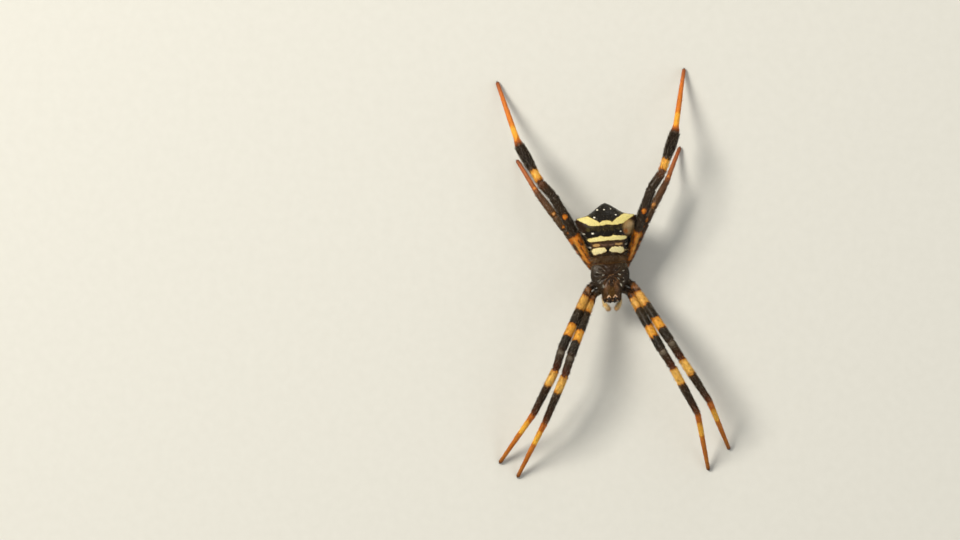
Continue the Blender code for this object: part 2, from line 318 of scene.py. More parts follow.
# How much the skin narrows at each joint, by place along the leg: segment number plus
# share of the segment.  The last joint is that between metatarsus and tarsus.  Beyond
# each neck, SWELL_AT mm off, the skin swells by a share of it.
NECKS = {0.8: 0.14, 1: 0.16, 2: 0.18, 3: 0.18, 4: 0.12, 4.77: 0.08}

# Colours by place along the leg, each row a place and then the colour as seen
FORE_GROUND = (
    (0.0, 60, 48, 34), (0.7, 66, 50, 34), (0.9, 96, 66, 38), (1.0, 150, 92, 42),
    (1.1, 150, 88, 36), (1.28, 62, 46, 26), (1.5, 47, 38, 26), (1.94, 44, 36, 26),
    (2.02, 66, 46, 30), (2.15, 54, 40, 25), (2.5, 60, 42, 25), (2.85, 76, 38, 20),
    (3.0, 98, 50, 20), (3.4, 62, 42, 24), (3.6, 50, 38, 25), (3.85, 68, 38, 19),
    (3.97, 108, 54, 20), (4.03, 204, 114, 34), (4.45, 208, 124, 40), (4.6, 194, 112, 36),
    (4.76, 184, 106, 36), (4.8, 194, 120, 46), (4.94, 158, 94, 38), (5.0, 62, 40, 22))
FORE_BRIGHT = (
    (1.0, 206, 150, 74), (1.2, 222, 172, 84), (1.4, 218, 168, 78), (1.6, 230, 168, 62),
    (1.8, 230, 168, 62), (3.0, 234, 186, 94), (3.4, 238, 192, 94), (4.1, 236, 164, 52),
    (4.3, 250, 192, 68))
MID_GROUND = (
    (0.0, 104, 70, 40), (1.0, 92, 62, 34), (1.7, 86, 58, 32), (1.85, 74, 54, 34),
    (2.5, 84, 62, 38), (3.0, 96, 68, 42), (3.9, 100, 64, 38), (4.05, 142, 82, 42),
    (4.3, 172, 102, 56), (4.8, 172, 96, 52), (5.0, 122, 68, 42))
MID_BRIGHT = (
    (1.0, 206, 142, 62), (1.8, 206, 142, 62), (2.2, 200, 134, 52), (3.1, 206, 156, 92),
    (4.1, 222, 148, 66))
HIND_GROUND = (
    (0.0, 84, 58, 34), (1.0, 116, 76, 36), (1.3, 84, 54, 26), (1.45, 52, 40, 27),
    (2.0, 54, 42, 30), (2.5, 56, 42, 28), (2.9, 92, 54, 28), (3.0, 100, 58, 28),
    (3.3, 62, 46, 30), (3.5, 48, 39, 29), (3.95, 54, 38, 24), (4.03, 164, 84, 28),
    (4.1, 224, 132, 40), (4.4, 220, 128, 44), (4.76, 212, 118, 44), (4.8, 204, 114, 50),
    (4.95, 170, 94, 50), (5.0, 108, 66, 44))
HIND_BRIGHT = (
    (1.0, 214, 146, 62), (1.2, 236, 176, 80), (1.45, 222, 152, 58), (1.7, 222, 142, 44),
    (3.05, 240, 178, 70), (3.3, 246, 192, 86), (4.1, 244, 168, 54), (4.3, 252, 190, 66))
# Ground and band colours, and where each band starts and stops
LEG_PAINT = {
    1: (FORE_GROUND, FORE_BRIGHT, ((1.10, 1.29), (1.59, 1.78), (3.03, 3.36), (4.12, 4.40))),
    2: (FORE_GROUND, FORE_BRIGHT, ((1.12, 1.36), (1.59, 1.78), (3.03, 3.36), (4.12, 4.40))),
    3: (MID_GROUND, MID_BRIGHT, ((1.0, 1.80),)),
    4: (HIND_GROUND, HIND_BRIGHT, ((1.02, 1.42), (3.05, 3.31), (4.06, 4.31)))}
# Hair by place along the leg: length in mm, number to the square mm, lift in degrees
HAIR_LENGTH = ((0, .26), (1, .30), (1.5, .32), (2, .26), (3, .32), (3.9, .32), (4.1, .20),
               (4.7, .16), (5, .12))
HAIR_DENSITY = ((0, 30), (0.2, 140), (1, 140), (3.9, 145), (4.1, 160), (5, 190))
HAIR_LIFT = ((0, 40), (1, 32), (3, 28), (4, 24), (5, 20))
# (leg, place along it, radius in mm): round spots on the back of a segment
LEG_SPOTS = ((4, 1.70, 0.32), (3, 2.20, 0.20), (3, 3.10, 0.26), (3, 4.10, 0.26),
             (3, 1.92, 0.12))


def solid(name):
    """Triangles of a solid, as (count, corner, axis) in mm."""
    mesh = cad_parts[name].data
    mesh.calc_loop_triangles()
    at = np.empty(len(mesh.vertices) * 3)
    corners = np.empty(len(mesh.loop_triangles) * 3, np.int32)
    mesh.vertices.foreach_get("co", at)
    mesh.loop_triangles.foreach_get("vertices", corners)
    return at.reshape(-1, 3)[corners].reshape(-1, 3, 3) / MM


def corners_of(one):
    """The corners of a solid, each once."""
    return np.unique(np.round(one.reshape(-1, 3), 4), axis=0)


def meeting(one, other):
    """Where two solids meet: mean of the corners that lie close to the other."""
    a, b = corners_of(one), corners_of(other)
    apart = np.linalg.norm(a[:, None] - b[None], axis=2)
    return np.concatenate([a[apart.min(1) < CLOSE], b[apart.min(0) < CLOSE]]).mean(0)


def far_end(one, joint):
    """Mean of the corners in the outermost 0.15 mm, counted away from a joint."""
    corners = corners_of(one)
    away = np.linalg.norm(corners - joint, axis=1)
    return corners[away > away.max() - 0.15].mean(0)


def cut(one, point, heading):
    """Centre and mean radius of the outline where a plane square to heading cuts the
    solid: the mean of its edges by length, and its girth / 2 pi."""
    depth = (one - point) @ (heading / np.linalg.norm(heading))
    ahead, far = np.roll(one, -1, axis=1), np.roll(depth, -1, axis=1)
    crossing = (depth > 0) != (far > 0)
    share = depth / np.where(depth == far, 1, depth - far)
    hits = (one + (ahead - one) * share[..., None])[crossing].reshape(-1, 2, 3)
    size = np.linalg.norm(hits[:, 1] - hits[:, 0], axis=1)
    return (hits.mean(1) * size[:, None]).sum(0) / size.sum(), size.sum() / (2 * np.pi)


def leg_line(number, hand):
    """Centre, radius, place along the leg and distance for points from coxa to tip,
    with bends and changes of girth smoothed over SMOOTHING mm."""
    solids = [solid(f"leg_{number}_{hand}_{segment}") for segment in SEGMENTS]
    joints = [meeting(a, b) for a, b in zip(solids, solids[1:])]
    ends = [far_end(solids[0], joints[0]), *joints, far_end(solids[-1], joints[-1])]
    stops = []                                       # centre, radius, place
    for k, one in enumerate(solids):
        run = ends[k + 1] - ends[k]
        stops += [(*cut(one, ends[k] + share * run, run), k + share) for share in CUTS]
        stops.append((ends[k + 1], stops[-1][1], k + 1.0))
    root, radius, _ = stops[0]
    stops.insert(0, (root + ROOT_IN * unit(root - stops[2][0]), radius, 0.0))
    centres, radii, places = (np.array(column) for column in zip(*stops))
    run = distances(centres)
    fine = np.arange(0, run[-1] + FINE_STEP, FINE_STEP)
    kernel = np.exp(-0.5 * (np.arange(-24, 25) * FINE_STEP / SMOOTHING) ** 2)
    kernel /= kernel.sum()
    smooth = [np.convolve(np.pad(np.interp(fine, run, c), 24, "reflect", reflect_type="odd"),
                          kernel, "valid") for c in (*centres.T, radii)]
    return np.array(smooth[:3]).T, smooth[3], np.interp(fine, run, places), fine


def leg_box(number, hand):
    """A leg's box on the flat map."""
    strip = (number - 1) * 2 + (hand == "right")
    return strip * LEG_STRIP + 0.002, 0.01, 0.083, 0.97


leg_courses = {}                  # (leg, hand): rings, places and headings, for the spines


def make_leg(number, hand):
    """One leg's shell with its markings.

    Rings crowd at the joints.  The radius is the solid's less the coat, times
    1 - n exp(-(d / NECK_REACH)^2) + n SWELL exp(-((d - SWELL_AT) / SWELL_REACH)^2)
    at d mm from a joint whose neck is n."""
    line, radius, place, run = leg_line(number, hand)
    joint_runs = np.interp(list(NECKS), place, run)
    crowd = np.full(len(run), 1 / RING_GAP)
    for at in joint_runs:
        crowd += CROWDING * hill(run - at, CROWD_REACH)
    total = np.concatenate([[0], np.cumsum((crowd[1:] + crowd[:-1]) / 2 * np.diff(run))])
    d = np.interp(np.linspace(0.05, total[-1] - 0.05, int(total[-1])), total, run)
    line = np.stack([np.interp(d, run, line[:, k]) for k in range(3)], -1)
    place, radius = np.interp(d, run, place), np.interp(d, run, radius)
    girth = radius - COAT_DEPTH
    for at, neck in zip(joint_runs, NECKS.values()):
        off = np.abs(d - at)
        girth *= (1 - neck * hill(off, NECK_REACH)
                  + neck * SWELL * hill(off - SWELL_AT, SWELL_REACH))
    girth *= np.sqrt(1 - (1 - np.clip((d[-1] - d) / TIP_ROUND, 0.02, 1)) ** 2)
    girth = np.minimum(girth, line[:, 2] - LEG_CLEARANCE)
    rings, along, across, turn = tube_rings(line, girth, LEG_SIDES)
    leg_courses[number, hand] = rings, place, along
    mm_per = np.diff(np.interp(np.arange(6), place, d))[
        np.clip(place.astype(int), 0, 4)][:, None]           # length of a unit of place
    place, d, seed = place[:, None], d[:, None], number * 2 + (hand == "left")
    back_turn = (turn[None, :] - np.pi / 2 + np.pi) % (2 * np.pi) - np.pi
    round_mm = back_turn * np.maximum(girth, 0.15)[:, None]
    uneven, fine = mottled(d, round_mm, 0.9, seed), mottled(d, round_mm, 0.4, seed + 20)
    ground, bright, bands = LEG_PAINT[number]
    band = np.full(rings.shape[:2], -3.0)
    for start, stop in bands:
        inner = np.minimum(place - start, stop - place) * mm_per
        band = np.maximum(band, inner + 0.15 * uneven + 0.10 * fine)
    inner_side = -np.sign((across[len(across) // 3] @ OUT) * (1 if hand == "left" else -1))
    toward = np.cos(turn)[None, :] * inner_side      # 1 on the side that faces the body
    if number == 4:                     # a dark streak and blotches on the femur's back
        streak = 0.08 - np.abs(round_mm - 0.05 + 0.12 * mottled(d, d * 0, 2.0, seed + 40))
        streak = np.minimum(streak, (1.36 - place) * mm_per)
        blotch = 0.5 * mottled(d, round_mm, 1.3, seed + 60) + 0.15 * toward - 0.42
        band = np.minimum(band, np.where(place < 1.6, -np.maximum(streak, blotch), 9))
    if number == 3:                                  # blotched along its outer edge
        blotch = 0.34 * mottled(d, round_mm, 1.2, seed + 60) - 0.06
        band = np.minimum(band, np.where(place < 1.9, blotch, 9))
    for leg, at, size in LEG_SPOTS:
        if leg == number:
            off = np.hypot((place - at) * mm_per, round_mm)
            band = np.maximum(band, (size + 0.08 * uneven + 0.05 * fine - off) * 2.2)
    freckles = inside(mottled(d, round_mm, 0.42, seed + 80) - 0.62, 0.12)
    ground, bright = ramp(place + 0 * turn, ground), ramp(place + 0 * turn, bright)
    bright = tinted(bright, ((150, 86, 34), 0.75 * freckles))
    # painted highlight on the top of the knee, where the skin is also glossier
    knee_highlight = inside(0.10 - np.abs(place - 2.15), 0.07) * inside(
        np.sin(turn) - 0.55 + 0.3 * uneven, 0.3)
    if number < 3:                        # blotched at the root, with a painted highlight on the top of the knee
        root_skin = inside(1.15 - place, 0.06)
        ground = tinted(
            ground, ((44, 34, 24), 0.85 * inside(-uneven - 0.05, 0.2) * root_skin),
            ((132, 116, 94), 0.6 * inside(uneven - 0.5, 0.15) * root_skin),
            ((140, 128, 108), 0.50 * knee_highlight))
    # painted shade: the underside of each leg is made up to a quarter darker
    underside_shade = inside(-np.sin(turn) - 0.35, 0.25)
    brush = within(place, 3.42, 3.97, 0.10, 0.02) * (number == 4)
    beside = (number == 4) * inside(1.7 - place, 0.1) * np.clip(toward, 0, 1)
    dark = inside(-band, 0.15) * within(place, 1.1, 4.05, 0.1)
    length, density, lift = (np.interp(place, *zip(*table)) for table in (
        HAIR_LENGTH, HAIR_DENSITY, HAIR_LIFT))
    return closed_shell(
        rings, leg_box(number, hand), ground=ground * (1 - 0.25 * underside_shade[:, None]),
        bright=bright, band=band, spot=-1.0, gloss=0.42 - 0.12 * knee_highlight, lie=along[:, None],
        length=length + 0.10 * brush + 0.08 * beside,
        density=density * (1 + 0.9 * brush + 0.9 * beside),
        # silvery hairs, more on the dark bands: partly real pale hairs, partly a painted
        # highlight along the rows of hair
        lift=lift + 4 * brush + 20 * beside, silver=0.04 + 0.09 * dark)


for number, hand in LEGS:
    skin_shells[f"leg_{number}_{hand}"] = make_leg(number, hand)


# ---- Carapace -----------------------------------------------------------------------
# One domed shield over head and thorax: a pit at its middle with furrows running out to
# the legs, a head part set off by two grooves, and low mounds that carry the eyes.
TRUNK_COAT = 0.035
CARAPACE_RINGS = 132, 104         # how many, and points to each
CARAPACE_SECTIONS = (   # forward, half width, top, widest line, underside
    (-2.45, 1.42, 5.02, 4.82, 4.60), (-2.10, 1.90, 5.30, 4.86, 4.60),
    (-1.40, 2.24, 5.62, 4.84, 4.54), (-0.60, 2.36, 5.72, 4.78, 4.40),
    (0.10, 2.25, 5.74, 4.76, 4.38), (0.55, 1.96, 5.78, 4.77, 4.38),
    (0.95, 1.66, 5.82, 4.80, 4.38), (1.35, 1.38, 5.84, 4.85, 4.38),
    (1.80, 1.22, 5.80, 4.90, 4.38), (2.35, 1.16, 5.62, 4.95, 4.40),
    (2.78, 1.04, 5.22, 4.90, 4.46))
EYES = {   # forward, out, radius
    "anterior_median": (2.70, 0.26, 0.13), "posterior_median": (2.22, 0.38, 0.15),
    "anterior_lateral": (2.64, 0.90, 0.10), "posterior_lateral": (2.34, 1.02, 0.10)}
FOVEA = -0.46
# Short strokes of hair: forward and out at the start and at the end, and half the width
WHITE_STREAKS = (
    (-0.58, -1.01, -0.64, -0.70, 0.045), (0.08, -1.50, -0.10, -1.24, 0.05),
    (-0.05, -0.70, -0.22, -0.46, 0.035), (0.60, -0.95, 0.78, -0.89, 0.085),
    (-0.20, 0.80, 0.04, 1.03, 0.045), (-0.62, 0.93, -0.51, 1.17, 0.055),
    (0.58, 1.14, 0.82, 1.21, 0.08), (-0.12, 1.50, -0.03, 1.60, 0.03),
    (0.34, 1.46, 0.28, 1.57, 0.03), (0.29, -1.33, 0.26, -1.12, 0.03),
    (-1.05, -0.55, -1.25, -0.75, 0.03), (-1.02, 0.62, -1.20, 0.84, 0.03),
    (-0.95, -1.42, -1.02, -1.66, 0.03), (-0.92, 1.50, -0.98, 1.74, 0.03))
PALE_STROKES = (
    (-0.50, -0.32, -0.54, 0.06, 0.03), (-0.56, 0.14, -0.58, 0.44, 0.04),
    (0.06, 0.34, 1.10, 0.38, 0.05), (0.06, -0.16, 0.98, -0.30, 0.06),
    (-0.40, -0.14, 0.04, -0.66, 0.04), (0.04, -0.66, 0.56, -0.84, 0.04),
    (-0.36, 0.40, 0.16, 0.86, 0.04), (0.16, 0.86, 0.56, 1.02, 0.04),
    (1.86, -0.36, 2.10, -0.55, 0.07), (1.86, -0.36, 2.12, -0.16, 0.06),
    (1.86, 0.38, 2.10, 0.57, 0.07), (1.86, 0.38, 2.12, 0.18, 0.06),
    (2.20, -1.13, 2.44, -1.13, 0.05), (2.20, 1.13, 2.44, 1.13, 0.05),
    (2.46, -0.55, 2.56, -0.70, 0.04), (2.46, 0.55, 2.56, 0.70, 0.04),
    (2.42, -0.10, 2.56, 0.00, 0.035), (2.56, 0.00, 2.42, 0.10, 0.035))
FURROWS = (   # heading from straight ahead in degrees, depth, from, to
    (37, 0.10, 0.30, 1.95), (68, 0.085, 0.45, 1.75), (97, 0.09, 0.40, 1.75),
    (126, 0.08, 0.40, 1.60), (152, 0.07, 0.40, 1.45))


def strokes_at(forward, out, strokes, spread):
    """How far inside the nearest of some strokes, each made wider by spread: its half
    width less the distance to it."""
    depth = 0 * out - 1
    for fore, side, fore_end, side_end, half in strokes:
        run, rise = fore_end - fore, side_end - side
        share = ((forward - fore) * run + (out - side) * rise) / (run * run + rise * rise)
        share = np.clip(share, 0, 1)
        depth = np.maximum(depth, half + spread - np.hypot(forward - fore - share * run,
                                                           out - side - share * rise))
    return depth


def smooth_between(x, knots, values):
    """Monotone cubic curve through (knots, values), read at x."""
    step, rise = np.diff(knots), np.diff(values) / np.diff(knots)
    turns = rise[:-1] * rise[1:]
    slope = np.array([rise[0], *np.where(turns > 0, 2 * turns / np.where(
        turns > 0, rise[:-1] + rise[1:], 1), 0), rise[-1]])
    k = np.clip(np.searchsorted(knots, x) - 1, 0, len(step) - 1)
    t = (x - knots[k]) / step[k]
    a, b = values[k], values[k + 1]
    return (a * (1 + 2 * t) * (1 - t) ** 2 + b * t * t * (3 - 2 * t)
            + step[k] * t * (1 - t) * (slope[k] * (1 - t) - slope[k + 1] * t))


def drawn_ball(sections, rings, sides, power, round_ends):
    """A ball whose rings are drawn out to a table of sections, less the coat's depth.

    A ring is a pair of half super-ellipses that share the widest line, and near an end
    it shrinks as a quarter circle does over round_ends mm.  Returns forward, out, up and
    the height of the widest line."""
    table = np.array(sections)
    length = table[-1, 0] - table[0, 0]
    s = (np.arange(rings) + 0.5) / rings
    run = length * (s - 0.45 * np.sin(2 * np.pi * s) / (2 * np.pi))
    near = np.minimum(np.minimum(run / round_ends[0], (length - run) / round_ends[1]), 1)
    shrink = np.sqrt(1 - (1 - near) ** 2)[:, None]
    forward = table[0, 0] + run
    wide, top, mid, low = (smooth_between(forward, table[:, 0], table[:, k])[:, None]
                           for k in range(1, 5))
    wide = np.maximum(wide * shrink - TRUNK_COAT, 0.02)
    turn = turns_of(sides)
    c, d = (np.sign(v) * np.abs(v) ** np.where(np.sin(turn) > 0, 2 / power, 1.0)
            for v in (np.cos(turn), np.sin(turn)))
    height = np.where(d > 0, top - mid, mid - low) * shrink - TRUNK_COAT
    mean = forward.mean()
    forward = mean + (forward[:, None] - mean) * (1 - 2 * TRUNK_COAT / length)
    return forward + 0 * turn, -wide * c, mid + np.maximum(height, 0.01) * d, mid


def make_carapace():
    """The shield's shell, with its relief, colours and hair."""
    forward, out, up, mid = drawn_ball(CARAPACE_SECTIONS, *CARAPACE_RINGS, 2.3, (0.5, 0.28))
    x = np.abs(out)
    above = inside(up - mid - 0.12, 0.12)
    away = np.hypot(forward - FOVEA, out)
    heading = np.degrees(np.arctan2(x, forward - FOVEA))
    groove = 0 * out
    for angle, depth, start, stop in FURROWS:
        off = away * np.radians(np.clip(heading - angle, -60, 60))
        groove = groove + depth * hill(off, 0.085) * within(away, start, stop, 0.15, 0.2)
    relief = (-0.13 * np.exp(-((forward - FOVEA + 0.1) / 0.13) ** 2 - (out / 0.40) ** 2)
              - groove + 0.02 * mottled(forward, out, 0.7, 5) * inside(2.0 - forward, 0.2))
    for row, side_out, size in EYES.values():
        off = np.hypot(forward - row, x - side_out)
        relief = relief + 0.075 * hill(off - size, 0.07) * inside(0.32 - off, 0.1)
    up = up + relief * above
    uneven, fine = mottled(forward, out, 0.55, 11), mottled(forward, out, 0.28, 12)
    ground = tinted(
        srgb(60, 46, 29) + 0 * out[..., None], ((56, 36, 17), inside(0.95 - x, 0.3)),
        ((76, 50, 22), inside(forward - 0.55, 0.25) * inside(1.0 - x, 0.2)),
        ((122, 86, 56), within(forward, 0.2, 1.35, 0.15, 0.2)
         * inside(0.20 - np.abs(x - 0.64), 0.12) * 0.7),
        ((42, 26, 13), inside(0.13 - np.abs(out - 0.07), 0.08)
         * within(forward, 0, 1.0, 0.1, 0.2) * 0.8),
        ((86, 58, 18), inside(0.42 - np.hypot((forward - 1.45) * 0.7, x), 0.1)),
        ((34, 26, 18), inside(x - 1.45, 0.3) * inside(forward + 1.2, 0.4) * 0.55),
        ((30, 22, 15), inside(forward - 2.25, 0.06) * inside(0.25 + 0.5 * fine, 0.3) * 0.8),
        ((142, 100, 56), inside(-1.95 - forward, 0.12) * 0.75),
        ((88, 22, 14), inside(0.10 - np.abs(forward + 2.12 + 0.1 * uneven), 0.05)
         * inside(-0.1 - out, 0.2) * 0.9),
        ((70, 52, 34), inside(mid - 0.1 - up, 0.1)))
    # random tone, and painted shade that darkens each furrow by its depth
    ground = ground * (0.82 + 0.20 * uneven + 0.12 * fine - 4.5 * groove)[..., None]
    streaks = strokes_at(forward, out, WHITE_STREAKS, 0.02 * fine)
    strokes = strokes_at(forward, out, PALE_STROKES, 0.02 * fine)
    white_fur, pale_fur = inside(streaks, 0.03) * above, inside(strokes, 0.04) * above
    thorax = inside(0.5 + 0.5 * x - forward, 0.3)[..., None]
    radial = ((forward - FOVEA)[..., None] * FORWARD + out[..., None] * OUT) / (
        away[..., None] + 0.05)
    rear_rim = inside(-2.0 - forward, 0.1)
    corner, face = rear_rim * inside(x - 1.1, 0.2), inside(forward - 2.50, 0.12)
    drop = face[..., None]
    return closed_shell(
        on_body(forward, out, up), CARAPACE_BOX, ground=np.clip(ground, 0, 1),
        bright=ramp(forward, ((-0.6, 158, 138, 112), (-0.1, 140, 112, 82),
                              (0.3, 112, 82, 50), (1.3, 108, 80, 48),
                              (1.8, 206, 178, 150))),
        band=8.0 * strokes * above + (above - 1), gloss=0.40 + 0.10 * uneven,
        spot=np.minimum(streaks, 0.008) * above + (above - 1),
        lie=thorax * radial + (1 - thorax) * ((1 - drop) * FORWARD - 1.2 * drop * UP
                                              - 0.3 * np.clip(out, -1, 1)[..., None] * OUT),
        length=np.where(forward > 1.8, 0.10, 0.17) + 0.06 * white_fur + 0.22 * rear_rim
        + 0.10 * corner,
        density=(np.where(forward > 2.1, 90, 100) + 440 * white_fur + 190 * pale_fur
                 + 120 * rear_rim) * above + 40 + 60 * face + 160 * corner,
        lift=16.0 + 14 * rear_rim + 14 * corner,
        # silvery hairs, more on the rear rim; the patch of pale hair on each rear shoulder
        # is a painted reflection
        silver=0.05 + 0.45 * inside(0.45 - np.hypot(forward + 1.75, x - 1.85), 0.3)
        + 0.3 * rear_rim)


skin_shells["carapace"] = make_carapace()


# ---- Abdomen ------------------------------------------------------------------------
# A flattened soft bag with square shoulders and a pointed tail: black above with a
# yellow band across the shoulders, a second over the middle and a pair of cream
# patches in front, white dots, and a worn grey-beige patch on its left shoulder with a
# painted highlight on it.
ABDOMEN_APEX = -9.25
ABDOMEN_RINGS = 164, 136
ABDOMEN_SECTIONS = (   # from the tail's tip, half width, top, widest line, underside
    (0.00, 0.25, 5.85, 5.45, 5.15), (0.45, 0.87, 6.25, 5.45, 4.75),
    (1.15, 1.85, 6.72, 5.60, 4.15), (1.42, 2.36, 6.87, 5.75, 3.90),
    (1.72, 3.54, 6.98, 5.76, 3.62), (2.00, 3.68, 7.08, 5.78, 3.40),
    (3.00, 3.30, 7.30, 5.76, 2.98), (4.30, 2.68, 7.22, 5.65, 2.92),
    (5.50, 2.26, 6.80, 5.40, 3.45), (6.25, 2.06, 6.35, 5.22, 4.05),
    (6.74, 1.84, 5.90, 5.18, 4.45))
TAIL_BAND_REAR = ((0, 2.13), (0.45, 2.17), (0.78, 2.42), (0.97, 2.20), (1.4, 1.92),
                  (2.2, 1.48), (3.6, 1.66))       # distance from the middle, from the tail
TAIL_BAND_FRONT = ((0, 2.66), (0.9, 2.76), (2.0, 2.66), (2.6, 2.28), (3.6, 1.72))
MIDDLE_BAND_REAR = ((0, 4.09), (0.4, 4.08), (0.75, 3.92), (1.1, 4.04), (2.3, 4.16))
MIDDLE_BAND_FRONT = ((0, 4.57), (1.9, 4.62), (2.3, 4.52))
PATCH_MIDDLE = ((0, 5.78), (0.2, 5.72), (0.45, 5.66), (1.0, 5.72), (1.8, 5.80))
PATCH_HALF = ((0, -0.06), (0.12, 0.02), (0.30, 0.20), (0.45, 0.33), (1.0, 0.36),
              (1.45, 0.42), (1.70, 0.38), (1.84, 0.24), (1.93, 0.0))
WHITE_DOTS = (   # out, from the tail, radius
    (-0.96, 0.82, 0.075), (-0.15, 0.85, 0.07), (0.64, 0.81, 0.05), (-1.39, 1.71, 0.095),
    (-0.10, 1.76, 0.045), (1.19, 1.58, 0.08), (-2.78, 3.60, 0.095), (-1.74, 3.60, 0.11),
    (-0.10, 3.58, 0.035), (1.60, 3.58, 0.07), (-2.13, 5.27, 0.075), (2.14, 5.16, 0.07))
EDGE_SHARPNESS = 8.0              # the rims of markings are this much thinner than a leg's
FOLD_DEPTH = 0.014                # of the folds across the tail
SIGILLA = ((0.55, 3.0), (0.62, 3.75), (0.55, 4.85), (0.45, 5.9))


